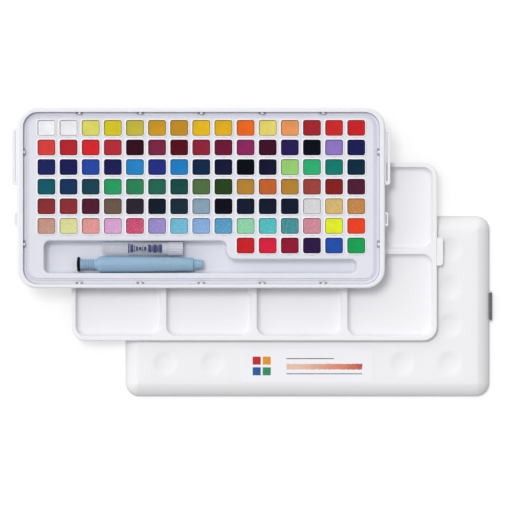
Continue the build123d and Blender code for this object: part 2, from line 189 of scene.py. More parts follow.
# The neck's thread, the collar's flutes and the ridges of the filament tip
THREAD_START = 3.2
THREAD_END = 13.0
THREAD_RADIUS = 4.55
THREAD_PITCH = 2.1
THREAD_DEPTH = 0.8
FLUTES = 16
FLUTE_DEPTH = 0.45
FLUTE_LEAST_RADIUS = 5.4
FLUTE_START = 5.2
FLUTE_END = 17.2
FILAMENT_RIDGES = 18
RIDGE_SHARE = 0.035

# Bars of print on the cap: start, length, and half the angle that each covers, in degrees
CAP_BARS = (
    (22.6, 1.2, 40), (24.4, 2.6, 34), (27.8, 0.8, 24), (29.2, 1.8, 18), (31.6, 2.4, 14), (34.6, 0.8, 22),
    (36.0, 2.0, 16), (39.4, 2.6, 32), (42.3, 1.0, 24), (43.7, 3.0, 34), (47.0, 1.2, 28), (48.6, 2.4, 36),
)
INK_CLEAR = 0.005
INK_THICK = 0.03

# Palette
PALETTE_WIDTH = 150.0
PALETTE_CORNER = 11.5
PALETTE_HEIGHT = 7.0
PALETTE_EDGE = 0.9
PLUG_DEPTH = 1.2
PLUG_BEVEL = 0.4
PLUG_SIDE = 3.3
PLUG_LENGTH = 298.0
WELL_LENGTH = 72.9
WELL_WIDTH = 69.9
WELL_PITCH_X = 76.3
WELL_PITCH_Y = 73.3
WELL_DEPTH = 5.2
WELL_CORNER = 9.0
WELL_LIP = 0.5
WELL_ROUND = 3.4
WELL_SLOPE = 72.0
TAB_LENGTH = 8.4
TAB_WIDTH = 23.7
TAB_BOTTOM = 4.7
TAB_TOP = 6.5
TAB_CORNER = 2.2
TAB_EDGE = 0.4
TAB_OUT = 0.8

# Lid
LID_WIDTH = 152.5
LID_HEIGHT = 13.0
LID_CORNER = 11.5
LID_EDGE_WIDTH = 11.4
LID_WALL_STEPS = ((0.3, 0), (1.7, 0))
LID_HOLLOW_WALL = 4.4
LID_HOLLOW_ROUND = 6.0
EDGE_TURN = 67.0
EDGE_SEGMENTS = 12
DIMPLE_RADIUS = 12.0
DIMPLE_DEPTH = 1.4
DIMPLE_RING = 1.2
DIMPLE_FALL = (0.0, 0.05, 0.2, 0.46, 0.76, 1.0, 1.16, 1.28, 1.36)
DIMPLE_PITCH_X = 40.0
DIMPLE_PITCH_Y = 32.0

# Label
LABEL_LENGTH = 111.0
LABEL_WIDTH = 28.0
LABEL_THICK = 0.2
LABEL_CORNER = 1.6
LABEL_EDGE = 0.06

# Latch flaps: the outline looks along the hinge, which is at (0, 0)
EAR_LENGTH = 3.2
EAR_THICK = 1.6
EAR_HEIGHT = 2.6
EAR_CORNER = 0.7
EAR_OUT = 0.6
EAR_Y = 12.4
FLAP_OUTLINE = (
    (-1.0, 0.0), (-1.0, 5.4), (1.0, 5.4), (1.0, 4.6), (0.6, 4.2), (-0.1, 4.2), (-0.1, 1.0), (1.0, 0.4),
    (1.0, -0.5), (0.5, -1.0), (-0.5, -1.0),
)
FLAP_WIDTH = 23.0
FLAP_EDGE = 0.16
FLAP_PIN = ((0, 0), (0, 0.5), (1.4, 0.5), (1.5, 0.4), (1.5, 0))
FLAP_AXIS_OUT = 1.15
FLAP_AXIS_Z = 1.3

# Label print: places in metres from the label's middle, half sizes in millimetres
BAND_LEFT = -0.018
BAND_RIGHT = 0.046
BAND_PLACE = (0.014, -0.0006)
BAND_HALF = (32.0, 2.4)
BAND_COLOURS = ((0.35, (232, 196, 178)), (0.7, (222, 142, 118)))
PATCH_HALF = (3.4, 3.4)
PATCHES = (
    ((-0.043, 0.0045), (196, 40, 44)),
    ((-0.0345, 0.0045), (226, 150, 40)),
    ((-0.043, -0.0045), (36, 92, 158)),
    ((-0.0345, -0.0045), (52, 142, 96)),
)
LINE_HALF = 0.35
LINES = ((0.0062, 20.0), (-0.0066, 32.0))

# Room: strength of the sky, its change from side to side, and what shiny surfaces see of it
SKY = 0.54
SKY_TILT = 0.53
SKY_DARK_GLOSS = 0.12
SKY_BRIGHT_GLOSS = 1.1
SKY_BRIGHT_WAY = (-0.7, 0.63, 0.35)
WINDOW_STRENGTH = 1.22
WINDOW_SPREAD = 18
WINDOW_TOWARDS = (0.22, -0.24, -1.0)
FLOOR_HALF = 4.0
FLOOR_DROP = 0.0002
FLOOR_GLOW = 0.53

# Camera, in metres
FRAME_WIDTH = 0.430
CAMERA_X = 0.0022
CAMERA_Y = -0.0026
SHARP_HEIGHT = 0.03

# Colours, each written as it shows on screen
PAINTS = {
    "paper white": (238, 238, 242),
    "soft white": (234, 234, 238),
    "pale lemon": (216, 212, 98),
    "sunny yellow": (208, 192, 30),
    "olive yellow": (190, 178, 56),
    "gold ochre": (198, 148, 26),
    "dark gold": (190, 138, 28),
    "warm yellow": (224, 180, 20),
    "deep yellow": (219, 170, 22),
    "orange": (230, 100, 22),
    "naples yellow": (224, 208, 104),
    "peach": (228, 148, 84),
    "deep red": (162, 32, 42),
    "poppy red": (200, 36, 36),
    "bright red": (198, 28, 34),
    "vermilion": (210, 60, 58),
    "brick crimson": (180, 32, 42),
    "scarlet": (208, 32, 40),
    "crimson": (178, 40, 52),
    "black cherry": (52, 8, 26),
    "mauve rose": (120, 34, 64),
    "dark wine": (86, 6, 26),
    "carmine": (144, 30, 54),
    "plum": (108, 16, 52),
    "magenta": (138, 34, 92),
    "aubergine": (64, 10, 38),
    "indigo violet": (36, 26, 84),
    "black": (8, 12, 26),
    "lavender": (138, 114, 190),
    "navy": (24, 26, 84),
    "ink blue": (26, 34, 94),
    "cobalt": (32, 68, 160),
    "cerulean": (30, 128, 194),
    "ultramarine": (32, 44, 128),
    "azure": (24, 122, 192),
    "iron blue": (8, 40, 74),
    "night blue": (18, 22, 54),
    "soot": (4, 8, 22),
    "black navy": (16, 20, 50),
    "apple green": (148, 202, 110),
    "emerald": (42, 172, 112),
    "teal green": (8, 122, 108),
    "deep sea": (6, 44, 66),
    "petrol": (8, 88, 102),
    "slate blue": (18, 50, 90),
    "slate teal": (20, 66, 82),
    "leaf green": (36, 154, 94),
    "sea green": (38, 128, 84),
    "bottle green": (30, 100, 82),
    "pine": (18, 74, 70),
    "moss": (78, 108, 64),
    "forest": (38, 68, 28),
    "ochre": (178, 128, 46),
    "sienna": (190, 94, 40),
    "light red": (154, 64, 56),
    "oxide red": (134, 26, 28),
    "dark maroon": (80, 26, 52),
    "brown red": (138, 44, 50),
    "plum brown": (82, 24, 48),
    "umber grey": (104, 86, 70),
    "charcoal": (44, 36, 50),
    "blue black": (14, 28, 44),
    "dark slate": (24, 44, 58),
    "mist blue": (132, 158, 178),
    "raven": (12, 12, 30),
    "midnight": (16, 26, 48),
    "pearl silver": (222, 222, 224),
    "pearl gold": (222, 188, 112),
    "pearl bronze": (202, 136, 66),
    "pearl copper": (204, 152, 134),
    "pearl cream": (228, 228, 156),
    "pearl salmon": (234, 154, 150),
    "pearl lilac": (222, 166, 212),
    "pearl pink": (212, 74, 118),
    "pearl violet": (158, 140, 206),
    "pearl sky": (112, 190, 220),
    "pearl light blue": (136, 178, 228),
    "pearl blue": (84, 160, 204),
    "pearl mint": (146, 218, 174),
    "pearl turquoise": (80, 196, 198),
    "pearl teal": (62, 148, 156),
    "pearl rose": (216, 140, 156),
    "vivid yellow": (224, 232, 34),
    "vivid orange": (232, 62, 28),
    "rose red": (212, 26, 58),
    "dark crimson": (142, 20, 50),
    "dark purple": (46, 22, 70),
    "royal blue": (32, 76, 166),
    "bright green": (18, 158, 82),
}

PAINT_ROWS = (
    ("paper white", "soft white", "pale lemon", "sunny yellow", "olive yellow", "gold ochre", "dark gold",
     "warm yellow", "deep yellow", "orange", "naples yellow", "peach", "deep red", "poppy red", "bright red"),
    ("vermilion", "brick crimson", "scarlet", "crimson", "black cherry", "mauve rose", "dark wine", "carmine",
     "plum", "magenta", "aubergine", "indigo violet", "black", "lavender", "navy"),
    ("ink blue", "navy", "cobalt", "navy", "cerulean", "ultramarine", "azure", "iron blue",
     "night blue", "soot", "black navy", "apple green", "emerald", "teal green", "deep sea"),
    ("petrol", "slate blue", "slate teal", "leaf green", "sea green", "bottle green", "pine", "moss",
     "forest", "ochre", "sienna", "ochre", "light red", "oxide red", "dark maroon"),
    ("brown red", "brown red", "plum brown", "umber grey", "charcoal", "blue black", "dark slate",
     "mist blue", "raven", "midnight", "midnight", "midnight", "pearl silver", "pearl gold", "pearl bronze"),
    ("pearl copper", "pearl cream", "pearl salmon", "pearl lilac", "pearl pink", "pearl violet", "pearl sky",
     "pearl light blue", "pearl blue", "pearl mint", "pearl turquoise", "pearl teal", "pearl rose",
     "vivid yellow", "vivid orange"),
    ("bright red", "rose red", "dark crimson", "dark purple", "royal blue", "bright green"),
)


def on_screen(red, green, blue):
    """A colour as it shows on screen, 0 to 255, in the renderer's linear numbers."""
    linear = []
    for part in (red / 255, green / 255, blue / 255):
        linear.append(part / 12.92 if part <= 0.04045 else ((part + 0.055) / 1.055) ** 2.4)
    return (*linear, 1.0)


# Node helpers

def put(tree, value, socket):
    """Links a socket, or sets a plain value."""
    if isinstance(value, bpy.types.NodeSocket):
        tree.links.new(value, socket)
    else:
        socket.default_value = value


def set_inputs(tree, node, inputs):
    """Links or sets a node's inputs by name; an underscore in a name stands for a space."""
    for label, value in inputs.items():
        put(tree, value, node.inputs[label.replace("_", " ")])


def add_node(tree, kind, **inputs):
    made = tree.nodes.new(kind)
    set_inputs(tree, made, inputs)
    return made


def calculate(tree, operation, *values):
    """One step of arithmetic on numbers or sockets."""
    made = tree.nodes.new("ShaderNodeMath")
    made.operation = operation
    for value, socket in zip(values, made.inputs):
        put(tree, value, socket)
    return made.outputs[0]


def remap(tree, value, from_low, from_high, to_low, to_high):
    """A value moved from one range to another, held at its ends."""
    made = add_node(
        tree, "ShaderNodeMapRange", Value=value,
        From_Min=from_low, From_Max=from_high, To_Min=to_low, To_Max=to_high,
    )
    return made.outputs["Result"]


def blend_colours(tree, amount, first, second, way="MIX"):
    made = tree.nodes.new("ShaderNodeMix")
    made.data_type = "RGBA"
    made.blend_type = way
    put(tree, amount, made.inputs[0])
    put(tree, first, made.inputs[6])
    put(tree, second, made.inputs[7])
    return made.outputs[2]


def scaled_colour(tree, colour, factor):
    """A colour made lighter or darker by a factor that changes over the surface."""
    grey = add_node(tree, "ShaderNodeCombineColor", Red=factor, Green=factor, Blue=factor).outputs[0]
    return blend_colours(tree, 1.0, colour, grey, "MULTIPLY")


def object_coordinates(tree):
    return tree.nodes.new("ShaderNodeTexCoord").outputs["Object"]


def noise(tree, size, detail=2.0):
    """Noise whose blotches are about `size` millimetres across."""
    made = add_node(
        tree, "ShaderNodeTexNoise", Vector=object_coordinates(tree), Scale=1 / (size * MM), Detail=detail
    )
    return made.outputs["Fac"]


def new_effect(name, inputs, outputs):
    """A shared effect with named inputs and outputs; gives its tree and its two ends."""
    tree = bpy.data.node_groups.new(name, "ShaderNodeTree")
    for label, kind, value in inputs:
        socket = tree.interface.new_socket(label, in_out="INPUT", socket_type=kind)
        socket.default_value = value
    for label, kind in outputs:
        tree.interface.new_socket(label, in_out="OUTPUT", socket_type=kind)
    return tree, tree.nodes.new("NodeGroupInput"), tree.nodes.new("NodeGroupOutput")


COLOUR = "NodeSocketColor"
NUMBER = "NodeSocketFloat"


def make_moulded_skin():
    """Moulded plastic: faint clouding, the fine grain of a mould, and rubbed patches that shine more."""
    tree, start, end = new_effect(
        "moulded skin",
        [
            ("Colour", COLOUR, (0.8, 0.8, 0.8, 1)),
            ("Clouding", NUMBER, 0.03),
            ("Roughness", NUMBER, 0.4),
            ("Rubbing", NUMBER, 0.1),
        ],
        [("Colour", COLOUR), ("Roughness", NUMBER), ("Height", NUMBER)],
    )
    clouds = noise(tree, 34.0, 3.0)
    grain = noise(tree, 0.35, 1.0)
    rubbed = remap(tree, noise(tree, 12.0, 4.0), 0.4, 0.7, -0.5, 0.5)
    darker = calculate(tree, "MULTIPLY", clouds, start.outputs["Clouding"])
    factor = calculate(tree, "SUBTRACT", 1.0, darker)
    put(tree, scaled_colour(tree, start.outputs["Colour"], factor), end.inputs["Colour"])
    change = calculate(tree, "MULTIPLY", rubbed, start.outputs["Rubbing"])
    put(tree, calculate(tree, "ADD", start.outputs["Roughness"], change), end.inputs["Roughness"])
    put(tree, grain, end.inputs["Height"])
    return tree


def make_cake_surface():
    """A cast cake of paint: slow changes of tone, fine pigment specks and a slightly dished, dragged skin."""
    tree, start, end = new_effect(
        "cake surface",
        [("Colour", COLOUR, (0.5, 0.5, 0.5, 1)), ("Unevenness", NUMBER, 0.2)],
        [("Colour", COLOUR), ("Roughness", NUMBER), ("Height", NUMBER)],
    )
    tone = noise(tree, 7.0, 3.0)
    specks = noise(tree, 0.5, 2.0)
    change = calculate(tree, "MULTIPLY", calculate(tree, "SUBTRACT", tone, 0.5), start.outputs["Unevenness"])
    fine = calculate(tree, "MULTIPLY", calculate(tree, "SUBTRACT", specks, 0.5), 0.16)
    factor = calculate(tree, "ADD", calculate(tree, "ADD", 1.0, change), fine)
    put(tree, scaled_colour(tree, start.outputs["Colour"], factor), end.inputs["Colour"])
    put(tree, remap(tree, specks, 0.3, 0.7, 0.24, 0.38), end.inputs["Roughness"])
    put(tree, calculate(tree, "ADD", tone, calculate(tree, "MULTIPLY", specks, 0.2)), end.inputs["Height"])
    return tree


def make_pearl_flakes():
    """Mica flakes: small cells, each with its own brightness, and a mask of the few that flash, which are
    also painted paler as a glint.
    """
    tree, start, end = new_effect(
        "pearl flakes",
        [("Colour", COLOUR, (0.5, 0.5, 0.5, 1)), ("Flake Size", NUMBER, 0.7)],
        [("Colour", COLOUR), ("Flash", NUMBER), ("Height", NUMBER)],
    )
    scale = calculate(tree, "DIVIDE", 1 / MM, start.outputs["Flake Size"])
    cells = add_node(tree, "ShaderNodeTexVoronoi", Vector=object_coordinates(tree), Scale=scale)
    level = add_node(tree, "ShaderNodeSeparateColor", Color=cells.outputs["Color"]).outputs[0]
    factor = remap(tree, level, 0.0, 1.0, 0.88, 1.08)
    flash = remap(tree, level, 0.78, 0.95, 0.0, 0.2)
    toned = scaled_colour(tree, start.outputs["Colour"], factor)
    # Flakes that flash are blended toward white: a painted glint.
    put(tree, blend_colours(tree, flash, toned, (1, 1, 1, 1)), end.inputs["Colour"])
    put(tree, flash, end.inputs["Flash"])
    put(tree, level, end.inputs["Height"])
    return tree


MOULDED_SKIN = make_moulded_skin()
CAKE_SURFACE = make_cake_surface()
PEARL_FLAKES = make_pearl_flakes()


def new_finish(name):
    """An empty material: its tree and its Principled shader."""
    finish = bpy.data.materials.new(name)
    finish.use_nodes = True
    tree = finish.node_tree
    return finish, tree, tree.nodes["Principled BSDF"]


def use_effect(tree, effect, **inputs):
    made = tree.nodes.new("ShaderNodeGroup")
    made.node_tree = effect
    set_inputs(tree, made, inputs)
    return made.outputs


def add_relief(tree, shader, height, depth):
    """Fine relief `depth` millimetres deep."""
    bump = add_node(tree, "ShaderNodeBump", Height=height, Distance=depth * MM, Strength=1.0)
    put(tree, bump.outputs[0], shader.inputs["Normal"])


def moulded(name, colour, roughness, clouding=0.03, grain=0.01, rubbing=0.12, **values):
    """A moulded plastic of one colour; further values go on the shader's own sockets."""
    finish, tree, shader = new_finish(name)
    skin = use_effect(
        tree, MOULDED_SKIN, Colour=on_screen(*colour), Clouding=clouding, Roughness=roughness, Rubbing=rubbing
    )
    put(tree, skin["Colour"], shader.inputs["Base Color"])
    put(tree, skin["Roughness"], shader.inputs["Roughness"])
    add_relief(tree, shader, skin["Height"], grain)
    set_inputs(tree, shader, values)
    return finish


def see_through(name, colour, roughness, facing_alpha, edge_alpha):
    """A thin clear wall: nearly clear where it faces the eye, milkier towards its edges."""
    finish = moulded(name, colour, roughness, grain=0.002, rubbing=0.05)
    tree = finish.node_tree
    edge = add_node(tree, "ShaderNodeLayerWeight", Blend=0.4).outputs["Facing"]
    shader = tree.nodes["Principled BSDF"]
    put(tree, remap(tree, edge, 0.1, 0.9, facing_alpha, edge_alpha), shader.inputs["Alpha"])
    return finish


def paint_finish(name, unevenness, specular):
    """A paint that takes its colour from the mesh, with the surface of a cast cake."""
    finish, tree, shader = new_finish(name)
    tint = tree.nodes.new("ShaderNodeAttribute")
    tint.attribute_name = "paint"
    shader.inputs["Specular IOR Level"].default_value = specular
    surface = use_effect(tree, CAKE_SURFACE, Colour=tint.outputs["Color"], Unevenness=unevenness)
    return finish, tree, shader, surface


def make_dried_paint():
    finish, tree, shader, surface = paint_finish("dried paint", 0.3, 0.22)
    put(tree, surface["Colour"], shader.inputs["Base Color"])
    put(tree, surface["Roughness"], shader.inputs["Roughness"])
    add_relief(tree, shader, surface["Height"], 0.1)
    return finish


def make_pearl_paint():
    finish, tree, shader, surface = paint_finish("pearl paint", 0.15, 0.25)
    flakes = use_effect(tree, PEARL_FLAKES, Colour=surface["Colour"], Flake_Size=0.6)
    put(tree, flakes["Colour"], shader.inputs["Base Color"])
    put(tree, remap(tree, flakes["Flash"], 0.0, 0.2, 0.5, 0.3), shader.inputs["Roughness"])
    put(tree, remap(tree, flakes["Flash"], 0.0, 0.2, 0.1, 0.3), shader.inputs["Metallic"])
    add_relief(tree, shader, flakes["Height"], 0.05)
    return finish


def patch_mask(tree, across, along, middle, half, softness):
    """One inside a rectangle whose edges are frayed by a little noise, and nought outside it."""
    ragged = remap(tree, noise(tree, 2.2, 3.0), 0.0, 1.0, -softness, softness)
    mask = None
    for place, centre, reach in zip((across, along), middle, half):
        away = calculate(tree, "ABSOLUTE", calculate(tree, "SUBTRACT", place, centre))
        away = calculate(tree, "ADD", away, ragged)
        inside = remap(tree, away, (reach + 0.15) * MM, (reach - 0.15) * MM, 0.0, 1.0)
        mask = inside if mask is None else calculate(tree, "MULTIPLY", mask, inside)
    return mask


def make_sticker_print(middle):
    """A plain printed label: a warm brushed band between two thin lines, beside four small patches."""
    finish, tree, shader = new_finish("sticker print")
    spot = add_node(tree, "ShaderNodeSeparateXYZ", Vector=object_coordinates(tree))
    across = calculate(tree, "SUBTRACT", spot.outputs[0], middle.x)
    along = calculate(tree, "SUBTRACT", spot.outputs[1], middle.y)
    colour = on_screen(242, 242, 246)
    shift = calculate(tree, "MULTIPLY", noise(tree, 24.0, 2.0), 0.5)
    ramp = tree.nodes.new("ShaderNodeValToRGB")
    along_band = remap(tree, across, BAND_LEFT, BAND_RIGHT, 0.0, 0.75)
    put(tree, calculate(tree, "ADD", along_band, shift), ramp.inputs[0])
    ramp.color_ramp.elements[0].color = on_screen(226, 178, 120)
    ramp.color_ramp.elements[1].color = on_screen(188, 74, 60)
    for place, shown in BAND_COLOURS:
        ramp.color_ramp.elements.new(place).color = on_screen(*shown)
    band = patch_mask(tree, across, along, BAND_PLACE, BAND_HALF, 0.0009)
    colour = blend_colours(tree, band, colour, ramp.outputs[0])
    for place, shown in PATCHES:
        square = patch_mask(tree, across, along, place, PATCH_HALF, 0.0003)
        colour = blend_colours(tree, square, colour, on_screen(*shown))
    for height, reach in LINES:
        place = (reach * MM + BAND_LEFT, height)
        line = patch_mask(tree, across, along, place, (reach, LINE_HALF), 0.0001)
        colour = blend_colours(tree, line, colour, on_screen(70, 62, 74))
    put(tree, colour, shader.inputs["Base Color"])
    put(tree, remap(tree, noise(tree, 0.6), 0.3, 0.7, 0.3, 0.36), shader.inputs["Roughness"])
    return finish


def make_bristle_finish():
    """Fine synthetic filaments that run along the tuft."""
    finish, tree, shader = new_finish("brush filaments")
    spread = add_node(tree, "ShaderNodeMapping", Vector=object_coordinates(tree), Scale=(120, 6000, 6000))
    streaks = add_node(tree, "ShaderNodeTexNoise", Vector=spread.outputs[0], Scale=1.0, Detail=2.0)
    strands = streaks.outputs["Fac"]
    tone = blend_colours(tree, strands, on_screen(214, 200, 178), on_screen(250, 246, 238))
    put(tree, tone, shader.inputs["Base Color"])
    put(tree, remap(tree, strands, 0.3, 0.7, 0.3, 0.5), shader.inputs["Roughness"])
    add_relief(tree, shader, strands, 0.08)
    return finish


WHITE_TRAY = moulded("tray shell plastic", (238, 239, 245), 0.38)
WHITE_INSERT = moulded("insert plastic", (227, 228, 237), 0.42)
# The insert's border is coloured a little darker than its deck: painted shade under the rim.
INSERT_BORDER_SHADE = moulded("insert border painted shade", (221, 222, 231), 0.5)
WHITE_CUP = moulded("pan plastic", (250, 250, 252), 0.34, clouding=0.02)
WHITE_PALETTE = moulded(
    "palette plastic", (244, 244, 247), 0.28, grain=0.004, clouding=0.02, rubbing=0.0
)
WHITE_LID = moulded("lid plastic", (241, 241, 244), 0.55, Specular_IOR_Level=0.3)
GREY_LATCH = moulded("latch plastic", (104, 104, 108), 0.45, grain=0.02, clouding=0.08)
BLUE_BOTTLE = moulded(
    "soft blue bottle", (156, 190, 217), 0.34, grain=0.004, clouding=0.06, rubbing=0.04,
    Transmission_Weight=0.1, Subsurface_Weight=0.4, Subsurface_Scale=0.004,
)
BLACK_RUBBER = moulded(
    "stopper rubber", (10, 10, 20), 0.55, grain=0.02, clouding=0.2, Specular_IOR_Level=0.15
)
CLEAR_CAP = see_through("clear cap", (240, 243, 253), 0.14, 0.16, 0.5)
FROSTED_GRIP = see_through("frosted grip", (228, 229, 240), 0.35, 0.6, 0.85)
NOSE_PLASTIC = see_through("nose plastic", (236, 237, 244), 0.3, 0.5, 0.8)
CAP_INK = see_through("cap print ink", (62, 70, 126), 0.5, 0.8, 0.9)
PAN_INK = moulded("pan number ink", (150, 152, 168), 0.6, clouding=0.1)
DRIED_PAINT = make_dried_paint()
PEARL_PAINT = make_pearl_paint()
FILAMENTS = make_bristle_finish()


# Shape helpers, all in millimetres

def is_upright(edge):
    return abs(edge.verts[0].co.z - edge.verts[1].co.z) > TINY


def block(length, width, z_low, z_high, corner, segments=6):
    """A plate about the Z axis whose upright edges are rounded."""
    bm = bmesh.new()
    bmesh.ops.create_cube(bm, size=1)
    bmesh.ops.scale(bm, vec=(length, width, z_high - z_low), verts=bm.verts)
    bmesh.ops.translate(bm, vec=(0, 0, (z_low + z_high) / 2), verts=bm.verts)
    if corner:
        round_edges(bm, [edge for edge in bm.edges if is_upright(edge)], corner, segments)
    return bm


def side_block(length, width, z_low, z_high, corner):
    """A plate that stands out to +X: only its two outer upright edges are rounded."""
    bm = block(length, width, z_low, z_high, 0)
    round_edges(bm, [edge for edge in bm.edges if is_upright(edge) and edge.verts[0].co.x > 0], corner, 4)
    return bm


def on_side(side, out, y=0.0):
    """The place of a shape that stands `out` beyond the end of a layer, mirrored for the left side."""
    return Matrix.Translation((side * (SET_LENGTH / 2 + out), y, 0)) @ Matrix.Diagonal((side, 1, 1, 1))


def round_edges(bm, edges, radius, segments):
    bmesh.ops.bevel(
        bm, geom=edges, offset=radius, offset_type="OFFSET", affect="EDGES", segments=segments,
        profile=0.5, material=-1, clamp_overlap=True,
    )


def top_face(bm):
    return max(bm.faces, key=lambda face: face.calc_center_median().z)


def bottom_face(bm):
    return min(bm.faces, key=lambda face: face.calc_center_median().z)


def mouth(bm, length, width, corner, x, y, z, segments):
    """A flat face with rounded corners, the mouth of a well or a cell."""
    before = set(bm.faces)
    middle = Matrix.Translation((x, y, z)) @ Matrix.Diagonal((length, width, 1, 1))
    made = bmesh.ops.create_grid(bm, x_segments=1, y_segments=1, size=0.5, matrix=middle)["verts"]
    round_corners(bm, made, corner, segments)
    return newest_face(bm, before)


def round_corners(bm, verts, radius, segments):
    bmesh.ops.bevel(
        bm, geom=verts, offset=radius, offset_type="OFFSET", affect="VERTICES", segments=segments,
        profile=0.5, material=-1,
    )


def newest_face(bm, before):
    """The largest face that wasn't there before."""
    return max((face for face in bm.faces if face not in before), key=lambda face: face.calc_area())


def step_in(bm, face, steps):
    """Insets a flat face again and again, each time by (inward, upward)."""
    for inward, upward in steps:
        bmesh.ops.inset_region(
            bm, faces=[face], thickness=max(inward, TINY), depth=0, use_even_offset=True, use_boundary=True
        )
        bmesh.ops.translate(bm, vec=(0, 0, upward), verts=face.verts[:])


def shrink_in(bm, face, share, upward):
    """Insets a flat face by scaling it, for a step wider than its rounded corners."""
    step_in(bm, face, [(TINY, upward)])
    middle = face.calc_center_median()
    bmesh.ops.scale(bm, vec=(share, share, 1), space=Matrix.Translation(-middle), verts=face.verts[:])


def curve_over(radius, segments, slope=90.0, sign=-1):
    """Steps that curve from flat into a wall; read backwards they curve from a wall into flat.

    A sign of -1 goes down, and 1 goes up.
    """
    angles = [math.radians(slope) * step / segments for step in range(segments + 1)]
    return [
        (radius * (math.sin(b) - math.sin(a)), sign * radius * (math.cos(a) - math.cos(b)))
        for a, b in zip(angles, angles[1:])
    ]


def pocket_steps(depth, lip, floor, slope, segments):
    """The steps of a pocket: over its lip, down its wall and round into its floor."""
    over = curve_over(lip, segments, slope)
    into = curve_over(floor, segments, slope)[::-1]
    left = depth + sum(rise for _, rise in over) + sum(rise for _, rise in into)
    wall = (max(left / math.tan(math.radians(slope)), TINY), -left)
    return over + [wall] + into


def fill_between(bm):
    """Fills the flat face between an outer loop and all the loops inside it."""
    open_edges = [edge for edge in bm.edges if edge.is_boundary]
    bmesh.ops.triangle_fill(bm, edges=open_edges, use_beauty=True, use_dissolve=False)


def add_shape(bm, other, place=None):
    """Adds another shape, moved by a matrix."""
    if place is not None:
        bmesh.ops.transform(other, matrix=place, verts=other.verts)
    carrier = bpy.data.meshes.new("carrier")
    other.to_mesh(carrier)
    other.free()
    bm.from_mesh(carrier)
    bpy.data.meshes.remove(carrier)


def lathe(profile, sides, turn=360.0, start=0.0):
    """Turns a line of (along, radius) points about the X axis."""
    bm = bmesh.new()
    line = [bm.verts.new((along, 0, radius)) for along, radius in profile]
    edges = [bm.edges.new(pair) for pair in zip(line, line[1:])]
    bmesh.ops.rotate(bm, verts=bm.verts, matrix=Matrix.Rotation(math.radians(start), 3, "X"))
    bmesh.ops.spin(
        bm, geom=line + edges, cent=(0, 0, 0), axis=X_AXIS, angle=math.radians(turn), steps=sides,
        use_merge=turn == 360.0,
    )
    bmesh.ops.remove_doubles(bm, verts=bm.verts, dist=TINY / 10)
    bmesh.ops.delete(bm, geom=[edge for edge in bm.edges if edge.is_wire], context="EDGES")
    bmesh.ops.recalc_face_normals(bm, faces=bm.faces)
    return bm


def finish_piece(name, bm, place, finishes, body, nodes=(), sharp=40.0):
    """Scales a shape to metres, puts it in place and makes it a piece of the set."""
    bmesh.ops.recalc_face_normals(bm, faces=bm.faces)
    bmesh.ops.scale(bm, vec=(MM, MM, MM), verts=bm.verts)
    bmesh.ops.translate(bm, vec=place, verts=bm.verts)
    mesh = bpy.data.meshes.new(name)
    bm.to_mesh(mesh)
    bm.free()
    for finish in finishes:
        mesh.materials.append(finish)
    mesh.shade_smooth()
    mesh.set_sharp_from_angle(angle=math.radians(sharp))
    piece = bpy.data.objects.new(name, mesh)
    bpy.context.scene.collection.objects.link(piece)
    even = piece.modifiers.new("even shading", "WEIGHTED_NORMAL")
    even.keep_sharp = True
    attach(piece, body)
    if nodes:
        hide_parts(*nodes)


def pan_places(row):
    first = LAST_ROW_FIRST if row == ROWS - 1 else 0
    y = FIRST_ROW_Y - row * PITCH_Y
    return [((column - (COLUMNS - 1) / 2) * PITCH_X, y) for column in range(first, COLUMNS)]


# Tray shell

def lug(side, y_low, y_high, reach, arm):
    """A looped lug: a bar on two short arms, so that a slot goes right through."""
    length = reach + LUG_ROOT
    bar = side_block(length, y_high - y_low, LUG_BOTTOM, LUG_TOP, reach * 0.45)
    slot_left = -length / 2 + LUG_ROOT + (reach - LUG_SLOT) / 3
    slot_right = slot_left + LUG_SLOT
    slot_half = (y_high - y_low) / 2 - arm
    for point, way in (
        ((slot_left, 0, 0), X_AXIS), ((slot_right, 0, 0), X_AXIS),
        ((0, slot_half, 0), Y_AXIS), ((0, -slot_half, 0), Y_AXIS),
    ):
        bmesh.ops.bisect_plane(
            bar, geom=bar.verts[:] + bar.edges[:] + bar.faces[:], dist=TINY / 10, plane_co=point, plane_no=way
        )
    cut = [
        face for face in bar.faces
        if abs(face.normal.z) > 0.9
        and slot_left < face.calc_center_median().x < slot_right
        and abs(face.calc_center_median().y) < slot_half
    ]
    bmesh.ops.delete(bar, geom=cut, context="FACES_ONLY")
    bmesh.ops.bridge_loops(bar, edges=[edge for edge in bar.edges if edge.is_boundary])
    edges = [
        edge for edge in bar.edges
        if len(edge.link_faces) == 2 and edge.calc_face_angle(0) > 1.0
        and not is_upright(edge) and edge.verts[0].co.x > -length / 2 + TINY
    ]
    round_edges(bar, edges, LUG_EDGE, 2)
    return bar, on_side(side, (reach - LUG_ROOT) / 2, (y_low + y_high) / 2)


def catch_places():
    """Where the catches stand on the rim's inner edge, and which way each points, in degrees."""
    edge_x = SET_LENGTH / 2 - RIM_SIDE
    edge_y = TRAY_WIDTH / 2 - RIM_LONG
    places = []
    for step in range(-2, 3):
        places.append((step * CATCH_PITCH, edge_y, -90))
        places.append((step * CATCH_PITCH, -edge_y, 90))
    for y in (CATCH_SIDE_Y, -CATCH_SIDE_Y):
        places.append((edge_x, y, 180))
        places.append((-edge_x, y, 0))
    return places


